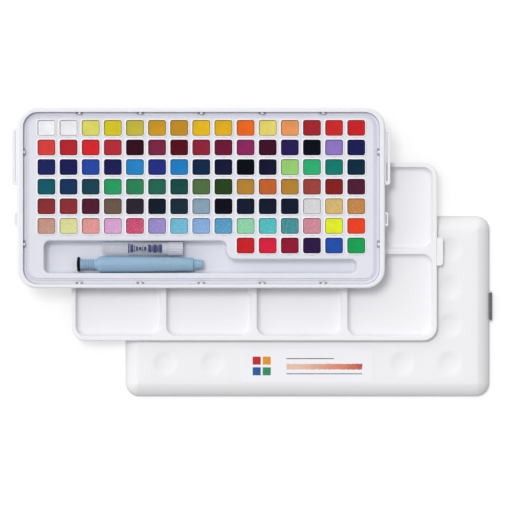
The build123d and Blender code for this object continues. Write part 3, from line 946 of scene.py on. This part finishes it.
def snap_catch():
    """The small tooth of a catch, three-cornered in plan, pointing along +X."""
    tooth = bmesh.new()
    bmesh.ops.create_cone(tooth, cap_ends=True, segments=3, radius1=1, radius2=1, depth=1)
    bmesh.ops.rotate(tooth, verts=tooth.verts, matrix=Matrix.Rotation(math.radians(-30), 3, "Z"))
    low = min(vert.co.x for vert in tooth.verts)
    high = max(vert.co.x for vert in tooth.verts)
    wide = max(vert.co.y for vert in tooth.verts)
    bmesh.ops.translate(tooth, verts=tooth.verts, vec=(-low, 0, 0))
    size = (CATCH_REACH / (high - low), CATCH_HALF_WIDTH / wide, CATCH_THICK)
    bmesh.ops.scale(tooth, vec=size, verts=tooth.verts)
    bmesh.ops.translate(tooth, verts=tooth.verts, vec=(-CATCH_ROOT, 0, DECK + CATCH_THICK / 2))
    return tooth


def make_tray_shell():
    bm = block(SET_LENGTH, TRAY_WIDTH, 0, TRAY_HEIGHT, TRAY_CORNER, 12)
    round_edges(bm, bottom_face(bm).edges[:], TRAY_BOTTOM_EDGE, 3)
    round_edges(bm, top_face(bm).edges[:], RIM_ROUND, 4)
    rim = top_face(bm)
    step_in(bm, rim, [(RIM_LONG - RIM_ROUND - RIM_LIP, 0)])
    longer = SET_LENGTH - 2 * (RIM_LONG - RIM_LIP)
    shorter = SET_LENGTH - 2 * (RIM_SIDE - RIM_LIP)
    bmesh.ops.scale(bm, vec=(shorter / longer, 1, 1), verts=rim.verts[:])
    step_in(bm, rim, curve_over(RIM_LIP, 2) + [(TINY, TRAY_FLOOR - TRAY_HEIGHT + RIM_LIP)])
    for side in (1, -1):
        for sizes in LUGS:
            add_shape(bm, *lug(side, *sizes))
    for x, y, angle in catch_places():
        turned = Matrix.Rotation(math.radians(angle), 4, "Z")
        add_shape(bm, snap_catch(), Matrix.Translation((x, y, 0)) @ turned)
    finish_piece("tray_shell", bm, TRAY, [WHITE_TRAY], "tray", ["base_shell"])


# Pan insert

def trough_mouth(bm):
    """The flat L-shaped mouth of the trough, with rounded corners."""
    before = set(bm.faces)
    verts = [bm.verts.new((x, y, DECK)) for x, y in TROUGH_OUTLINE]
    bm.faces.new(verts)
    round_corners(bm, verts, TROUGH_CORNER, 6)
    return newest_face(bm, before)


def cut_pockets(bm, ring):
    """A small pocket in the insert's edge under each catch."""
    cuts = []
    for x, y, angle in catch_places():
        way = X_AXIS if abs(angle) == 90 else Y_AXIS
        for side in (-1, 1):
            half = side * POCKET_LENGTH / 2
            cuts.append(((x + half, y, 0) if abs(angle) == 90 else (x, y + half, 0), way))
    faces = ring
    for point, way in cuts:
        edges = {edge for face in faces for edge in face.edges}
        verts = {vert for face in faces for vert in face.verts}
        made = bmesh.ops.bisect_plane(
            bm, geom=list(verts) + list(edges) + faces, dist=TINY / 10, plane_co=point, plane_no=way
        )
        faces = [item for item in made["geom"] if isinstance(item, bmesh.types.BMFace)]
    chosen = []
    for face in faces:
        middle = face.calc_center_median()
        for x, y, angle in catch_places():
            across, away = middle.x - x, middle.y - y
            if abs(angle) != 90:
                across, away = away, across
            if abs(across) < POCKET_LENGTH / 2 and abs(away) < POCKET_REACH:
                chosen.append(face)
    sunk = bmesh.ops.extrude_discrete_faces(bm, faces=chosen)["faces"]
    bmesh.ops.translate(bm, vec=(0, 0, -POCKET_DEPTH), verts=[vert for face in sunk for vert in face.verts])


def make_pan_insert():
    """The moulding that holds the pans, closed below where the tray shell hides it."""
    bottom = TRAY_FLOOR + INSERT_GAP
    bm = block(INSERT_LENGTH, INSERT_WIDTH, bottom, DECK - BORDER_DROP, INSERT_CORNER, 12)
    deck = top_face(bm)
    before = set(bm.faces)
    step_in(bm, deck, [(BORDER_EDGE, 0)])
    ring = [face for face in bm.faces if face not in before]
    step_in(bm, deck, BORDER_STEPS)
    # The border ring, its risers and the block's sides take the darker border colour: painted shade under the
    # rim.
    for face in bm.faces:
        face.material_index = 1
    cut_pockets(bm, ring)
    bmesh.ops.delete(bm, geom=[deck], context="FACES_ONLY")
    for row in range(ROWS):
        for x, y in pan_places(row):
            cell = mouth(bm, CELL_LENGTH, CELL_WIDTH, CUP_CORNER, x, y, DECK, 3)
            step_in(bm, cell, [(TINY, CELL_FLOOR - DECK)])
    steps = pocket_steps(DECK - TROUGH_FLOOR, TROUGH_LIP, TROUGH_ROUND, TROUGH_SLOPE, 5)
    step_in(bm, trough_mouth(bm), steps)
    fill_between(bm)
    finish_piece("pan_insert", bm, TRAY, [WHITE_INSERT, INSERT_BORDER_SHADE], "tray", ["pan_tray"])


# Pans, paint and numbers

def cup(bm, x, y):
    """A white cup: rounded rim, thin walls and a floor."""
    rim = mouth(bm, CUP_LENGTH, CUP_WIDTH, CUP_CORNER, x, y, CUP_TOP - CUP_RIM, 3)
    step_in(bm, rim, CUP_RIM_STEPS)
    step_in(bm, rim, [(TINY, CUP_BOTTOM + CUP_FLOOR - CUP_TOP + CUP_LIP_DROP)])
    skirt = [edge for edge in bm.edges if edge.is_boundary]
    down = bmesh.ops.extrude_edge_only(bm, edges=skirt)["geom"]
    verts = [item for item in down if isinstance(item, bmesh.types.BMVert)]
    bmesh.ops.translate(bm, vec=(0, 0, CUP_BOTTOM - CUP_TOP + CUP_RIM), verts=verts)
    bmesh.ops.holes_fill(bm, edges=[item for item in down if isinstance(item, bmesh.types.BMEdge)], sides=0)


def cake(bm, x, y, layer, name):
    """A cast cake with softly rounded edges, painted darker as shade, and a slightly dished top."""
    face = mouth(bm, CAKE_LENGTH - CAKE_GAP, CAKE_WIDTH - CAKE_GAP, CAKE_CORNER, x, y, CAKE_BOTTOM, 3)
    before = set(bm.faces) - {face}
    step_in(bm, face, [(TINY, CAKE_TOP - CAKE_BOTTOM - CAKE_ROUND), *CAKE_EDGE_STEPS])
    sides = set(bm.faces) - before - {face}
    step_in(bm, face, CAKE_TOP_STEPS)
    shrink_in(bm, face, CAKE_DISH_SHARE, -CAKE_DISH)
    bmesh.ops.holes_fill(bm, edges=[edge for edge in bm.edges if edge.is_boundary], sides=0)
    colour = on_screen(*PAINTS[name])
    # The sides and outer bevels take the paint's colour at half strength: painted shade for the dark gap
    # round each cake.
    shaded_edge_colour = (*(EDGE_SHADE * part for part in colour[:3]), 1.0)
    for made in set(bm.faces) - before:
        made.material_index = 1 if name.startswith("pearl") else 0
        for loop in made.loops:
            loop[layer] = shaded_edge_colour if made in sides else colour


def number_shape(text):
    """A plain number, a little raised, about its own middle."""
    curve = bpy.data.curves.new("number", "FONT")
    curve.body = text
    curve.size = NUMBER_SIZE
    curve.align_x = "CENTER"
    curve.align_y = "CENTER"
    curve.extrude = NUMBER_RAISED
    curve.space_character = NUMBER_SPACING
    curve.resolution_u = 1
    carrier = bpy.data.objects.new("number", curve)
    mesh = bpy.data.meshes.new_from_object(carrier)
    bpy.data.objects.remove(carrier)
    bpy.data.curves.remove(curve)
    bm = bmesh.new()
    bm.from_mesh(mesh)
    bpy.data.meshes.remove(mesh)
    bmesh.ops.remove_doubles(bm, verts=bm.verts, dist=TINY / 10)
    return bm


def make_pans():
    numbers = bmesh.new()
    count = 0
    for row in range(ROWS):
        cups = bmesh.new()
        cakes = bmesh.new()
        layer = cakes.loops.layers.float_color.new("paint")
        for (x, y), name in zip(pan_places(row), PAINT_ROWS[row]):
            cup(cups, x, y)
            cake(cakes, x, y, layer, name)
            count += 1
            below = y - CUP_WIDTH / 2 - (PITCH_Y - CUP_WIDTH) / 2
            place = Matrix.Translation((x, below, DECK + NUMBER_CLEAR))
            add_shape(numbers, number_shape(f"{count:03}"), place)
        finish_piece(f"cups_row_{row + 1}", cups, TRAY, [WHITE_CUP], "tray", [f"pans_row_{row + 1}"])
        finish_piece(
            f"cakes_row_{row + 1}", cakes, TRAY, [DRIED_PAINT, PEARL_PAINT], "tray",
            [f"paints_row_{row + 1}"], sharp=70.0,
        )
    finish_piece("pan_numbers", numbers, TRAY, [PAN_INK], "tray")


# Water brush

def axis_place(node):
    """The left end of a lying round piece, on its axis."""
    low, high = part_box(node)
    return Vector((low[0], (low[1] + high[1]) / 2, (low[2] + high[2]) / 2))


def turned_piece(name, bm, finish, body, node):
    """A turned shape takes the place of the solid that it dresses."""
    finish_piece(name, bm, axis_place(node), [finish], body, [node])


def thread_profile():
    """The ridges of the neck's screw thread, as rings."""
    root = THREAD_RADIUS - THREAD_DEPTH
    ridge = ((0.0, root), (0.35, root), (0.55, THREAD_RADIUS), (0.75, THREAD_RADIUS))
    points = []
    place = THREAD_START
    while place + THREAD_PITCH <= THREAD_END:
        points += [(place + THREAD_PITCH * share, radius) for share, radius in ridge]
        place += THREAD_PITCH
    return points + [(place, root)]


def make_barrel():
    """The squeeze barrel: a threaded neck, a body that thins to the right, and a stub at its end."""
    bm = lathe((*NECK_RIM, *thread_profile(), *BARREL_BODY, *BARREL_STUB, *BARREL_CHAMBER), 56)
    turned_piece("squeeze_barrel", bm, BLUE_BOTTLE, "barrel", "brush_barrel")


def make_stopper():
    bm = lathe(STOPPER_DISC + STOPPER_SPIGOT, 40)
    turned_piece("barrel_stopper", bm, BLACK_RUBBER, "plug", "reservoir_plug")


def make_collar():
    """The fluted grip with its spigot and its socket for the barrel's neck."""
    bm = lathe(COLLAR_OUTSIDE + COLLAR_SOCKET, 96)
    for vert in bm.verts:
        radius = math.hypot(vert.co.y, vert.co.z)
        if radius > FLUTE_LEAST_RADIUS and FLUTE_START < vert.co.x < FLUTE_END:
            angle = math.atan2(vert.co.z, vert.co.y)
            pulled = (radius - FLUTE_DEPTH * (0.5 - 0.5 * math.cos(FLUTES * angle))) / radius
            vert.co.y *= pulled
            vert.co.z *= pulled
    turned_piece("grip_collar", bm, FROSTED_GRIP, "brush_head", "brush_collar")


def make_nose():
    bm = lathe(NOSE_OUTLINE, 40)
    turned_piece("feed_nose", bm, NOSE_PLASTIC, "brush_head", "brush_nose")


def make_tip():
    """The pointed tuft, with fine ridges where its filaments lie."""
    bm = lathe(TIP_OUTLINE, 36)
    for vert in bm.verts:
        angle = math.atan2(vert.co.z, vert.co.y)
        pulled = 1 - RIDGE_SHARE * (0.5 + 0.5 * math.cos(FILAMENT_RIDGES * angle))
        vert.co.y *= pulled
        vert.co.z *= pulled
    turned_piece("filament_tip", bm, FILAMENTS, "brush_head", "bristle_tip")


def make_cap():
    """The clear cap, with a row of printed bars along it."""
    bm = lathe(CAP_OUTSIDE + CAP_INSIDE, 56)
    turned_piece("clear_cap", bm, CLEAR_CAP, "cap", "brush_cap")
    ink = bmesh.new()
    radius = CAP_RADIUS + INK_CLEAR
    for start, length, spread in CAP_BARS:
        patch = lathe([(start, radius), (start + length, radius)], 8, spread * 2.0, -spread)
        bmesh.ops.solidify(patch, geom=patch.faces[:], thickness=-INK_THICK)
        add_shape(ink, patch)
    finish_piece("cap_print", ink, axis_place("brush_cap"), [CAP_INK], "cap")


# Palette

def make_palette():
    """The mixing palette: eight wells, two finger tabs, and an underside that drops into the tray's rim."""
    bm = block(SET_LENGTH, PALETTE_WIDTH, PLUG_DEPTH, PALETTE_HEIGHT, PALETTE_CORNER, 10)
    under = bottom_face(bm)
    step_in(bm, under, [(PLUG_SIDE, 0)])
    bmesh.ops.scale(bm, vec=(PLUG_LENGTH / (SET_LENGTH - 2 * PLUG_SIDE), 1, 1), verts=under.verts[:])
    step_in(bm, under, [(TINY, PLUG_BEVEL - PLUG_DEPTH), (PLUG_BEVEL, -PLUG_BEVEL)])
    round_edges(bm, top_face(bm).edges[:], PALETTE_EDGE, 3)
    bmesh.ops.delete(bm, geom=[top_face(bm)], context="FACES_ONLY")
    steps = pocket_steps(WELL_DEPTH, WELL_LIP, WELL_ROUND, WELL_SLOPE, 4)
    for column in (-1.5, -0.5, 0.5, 1.5):
        for row in (-0.5, 0.5):
            x = column * WELL_PITCH_X
            y = row * WELL_PITCH_Y
            step_in(bm, mouth(bm, WELL_LENGTH, WELL_WIDTH, WELL_CORNER, x, y, PALETTE_HEIGHT, 8), steps)
    fill_between(bm)
    for side in (1, -1):
        tab = side_block(TAB_LENGTH, TAB_WIDTH, TAB_BOTTOM, TAB_TOP, TAB_CORNER)
        round_edges(tab, top_face(tab).edges[:], TAB_EDGE, 2)
        add_shape(bm, tab, on_side(side, TAB_OUT))
    finish_piece("palette_plate", bm, PALETTE, [WHITE_PALETTE], "palette", ["mixing_palette"])


# Lid, label and latches

def dimple_places():
    """The dimples stand along the lid's edge, away from the label."""
    places = []
    for row in (-1.5, -0.5, 0.5, 1.5):
        for column in range(-3, 4):
            if row == 1.5 or abs(column) == 3 or (row == -1.5 and abs(column) == 2):
                places.append((column * DIMPLE_PITCH_X, row * DIMPLE_PITCH_Y))
    return places


def dimple(bm, x, y):
    """A shallow dish with a soft lip."""
    made = bmesh.ops.create_circle(
        bm, cap_ends=True, segments=40, radius=DIMPLE_RADIUS, matrix=Matrix.Translation((x, y, LID_HEIGHT))
    )["verts"]
    face = made[0].link_faces[0]
    scale = DIMPLE_DEPTH / DIMPLE_FALL[-1]
    rises = [(high - low) * scale for high, low in zip(DIMPLE_FALL, DIMPLE_FALL[1:])]
    step_in(bm, face, [(DIMPLE_RING, rise) for rise in rises])
    bmesh.ops.poke(bm, faces=[face])


def lid_ear(side, way):
    """A small ear that carries one end of a latch flap."""
    ear = block(EAR_LENGTH, EAR_THICK, 0, EAR_HEIGHT, 0)
    outer = [
        edge for edge in ear.edges
        if min(vert.co.x for vert in edge.verts) > 0 and abs(edge.verts[0].co.y - edge.verts[1].co.y) > TINY
    ]
    round_edges(ear, outer, EAR_CORNER, 3)
    return ear, on_side(side, EAR_OUT, way * EAR_Y)


def make_lid():
    """The lid: an edge that turns over and meets the flat in a soft crease, and a hollow below."""
    bm = block(SET_LENGTH, LID_WIDTH, 0, LID_HEIGHT - LID_CORNER, LID_CORNER, 14)
    angles = [math.radians(EDGE_TURN) * step / EDGE_SEGMENTS for step in range(EDGE_SEGMENTS + 1)]
    long_way = LID_EDGE_WIDTH / (1 - math.cos(angles[-1]))
    high_way = LID_CORNER / math.sin(angles[-1])
    step_in(bm, top_face(bm), [
        (long_way * (math.cos(a) - math.cos(b)), high_way * (math.sin(b) - math.sin(a)))
        for a, b in zip(angles, angles[1:])
    ])
    hollow = bottom_face(bm)
    step_in(bm, hollow, [*LID_WALL_STEPS, (TINY, LID_HOLLOW_WALL)])
    step_in(bm, hollow, curve_over(LID_HOLLOW_ROUND, 4, 90.0, 1)[::-1])
    bmesh.ops.delete(bm, geom=[top_face(bm)], context="FACES_ONLY")
    for x, y in dimple_places():
        dimple(bm, x, y)
    fill_between(bm)
    for side in (1, -1):
        for way in (1, -1):
            add_shape(bm, *lid_ear(side, way))
    finish_piece("lid_cover", bm, LID, [WHITE_LID], "lid", ["lid_shell"])


def make_label():
    low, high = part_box("lid_label")
    middle = Vector(((low[0] + high[0]) / 2, (low[1] + high[1]) / 2, low[2]))
    bm = block(LABEL_LENGTH, LABEL_WIDTH, 0, LABEL_THICK, LABEL_CORNER, 4)
    round_edges(bm, top_face(bm).edges[:], LABEL_EDGE, 1)
    finish_piece("lid_sticker", bm, middle, [make_sticker_print(middle)], "lid", ["lid_label"])


def make_latch(side):
    """A latch flap folded up: a thin plate on a hinge barrel, with a hook along its free edge."""
    name = "right" if side > 0 else "left"
    bm = bmesh.new()
    face = bm.faces.new([bm.verts.new((x, -FLAP_WIDTH / 2, z)) for x, z in FLAP_OUTLINE])
    made = bmesh.ops.extrude_face_region(bm, geom=[face])["geom"]
    verts = [item for item in made if isinstance(item, bmesh.types.BMVert)]
    bmesh.ops.translate(bm, vec=(0, FLAP_WIDTH, 0), verts=verts)
    bmesh.ops.recalc_face_normals(bm, faces=bm.faces)
    round_edges(bm, [edge for edge in bm.edges if edge.calc_face_angle(0) > 0.5], FLAP_EDGE, 2)
    for way in (1, -1):
        turned = Matrix.Rotation(math.radians(90 * way), 4, "Z")
        add_shape(bm, lathe(FLAP_PIN, 20), Matrix.Translation((0, way * FLAP_WIDTH / 2, 0)) @ turned)
    bmesh.ops.scale(bm, vec=(side, 1, 1), verts=bm.verts)
    place = LID + Vector((side * (SET_LENGTH / 2 + FLAP_AXIS_OUT) * MM, 0, FLAP_AXIS_Z * MM))
    finish_piece(
        f"latch_flap_{name}", bm, place, [GREY_LATCH], f"latch_{name}", [f"lid_clip_{name}"]
    )


# Room, light and camera

def make_floor():
    """A pale floor that keeps the set's shadow and shows as white paper."""
    bm = bmesh.new()
    bmesh.ops.create_grid(bm, x_segments=1, y_segments=1, size=FLOOR_HALF)
    bmesh.ops.translate(bm, vec=(0, 0, -FLOOR_DROP), verts=bm.verts)
    mesh = bpy.data.meshes.new("floor")
    bm.to_mesh(mesh)
    bm.free()
    finish, tree, shader = new_finish("white paper floor")
    shader.inputs["Base Color"].default_value = (0.5, 0.5, 0.5, 1)
    shader.inputs["Roughness"].default_value = 0.9
    shader.inputs["Specular IOR Level"].default_value = 0.0
    shader.inputs["Emission Color"].default_value = (1, 1, 1, 1)
    path = tree.nodes.new("ShaderNodeLightPath")
    seen = calculate(tree, "MAXIMUM", path.outputs["Is Camera Ray"], path.outputs["Is Glossy Ray"])
    seen = calculate(tree, "MAXIMUM", seen, path.outputs["Is Transmission Ray"])
    put(tree, calculate(tree, "MULTIPLY", seen, FLOOR_GLOW), shader.inputs["Emission Strength"])
    mesh.materials.append(finish)
    floor = bpy.data.objects.new("floor", mesh)
    bpy.context.scene.collection.objects.link(floor)


def make_sky(tree):
    """A white room that is brighter towards its upper left; shiny surfaces find it darker straight above."""
    way = tree.nodes.new("ShaderNodeVectorMath")
    way.operation = "DOT_PRODUCT"
    put(tree, tree.nodes.new("ShaderNodeTexCoord").outputs["Generated"], way.inputs[0])
    way.inputs[1].default_value = Vector(SKY_BRIGHT_WAY).normalized()
    level = way.outputs["Value"]
    soft = remap(tree, level, -1.0, 1.0, SKY - SKY_TILT, SKY + SKY_TILT)
    shiny = remap(tree, level, 0.5, 0.95, SKY_DARK_GLOSS, SKY_BRIGHT_GLOSS)
    glossy = tree.nodes.new("ShaderNodeLightPath").outputs["Is Glossy Ray"]
    for_soft = calculate(tree, "MULTIPLY", calculate(tree, "SUBTRACT", 1.0, glossy), soft)
    for_shiny = calculate(tree, "MULTIPLY", glossy, shiny)
    sky = tree.nodes["Background"]
    sky.inputs["Color"].default_value = (1, 1, 1, 1)
    put(tree, calculate(tree, "ADD", for_soft, for_shiny), sky.inputs["Strength"])


def make_lights():
    """An even sky and one soft window from the upper left, which shiny surfaces don't mirror."""
    scene = bpy.context.scene
    world = bpy.data.worlds.new("studio")
    scene.world = world
    world.use_nodes = True
    make_sky(world.node_tree)
    lamp = bpy.data.lights.new("window", "SUN")
    lamp.energy = WINDOW_STRENGTH
    lamp.angle = math.radians(WINDOW_SPREAD)
    window = bpy.data.objects.new("window", lamp)
    window.rotation_mode = "QUATERNION"
    window.rotation_quaternion = Vector(WINDOW_TOWARDS).to_track_quat("-Z", "Y")
    window.visible_glossy = False
    scene.collection.objects.link(window)
    scene.view_settings.view_transform = "Standard"


def make_camera():
    """Straight down, as in the photograph, with a long lens."""
    data = bpy.data.cameras.new("camera")
    data.lens = 300.0
    data.sensor_width = 36.0
    distance = FRAME_WIDTH / 2 / (data.sensor_width / 2 / data.lens)
    data.clip_start = 0.1
    data.clip_end = 50.0
    camera = bpy.data.objects.new("camera", data)
    camera.location = (CAMERA_X, CAMERA_Y, SHARP_HEIGHT + distance)
    bpy.context.scene.collection.objects.link(camera)
    bpy.context.scene.camera = camera


make_camera()
make_lights()
make_floor()
make_tray_shell()
make_pan_insert()
make_pans()
make_barrel()
make_stopper()
make_collar()
make_nose()
make_tip()
make_cap()
make_palette()
make_lid()
make_label()
make_latch(1)
make_latch(-1)
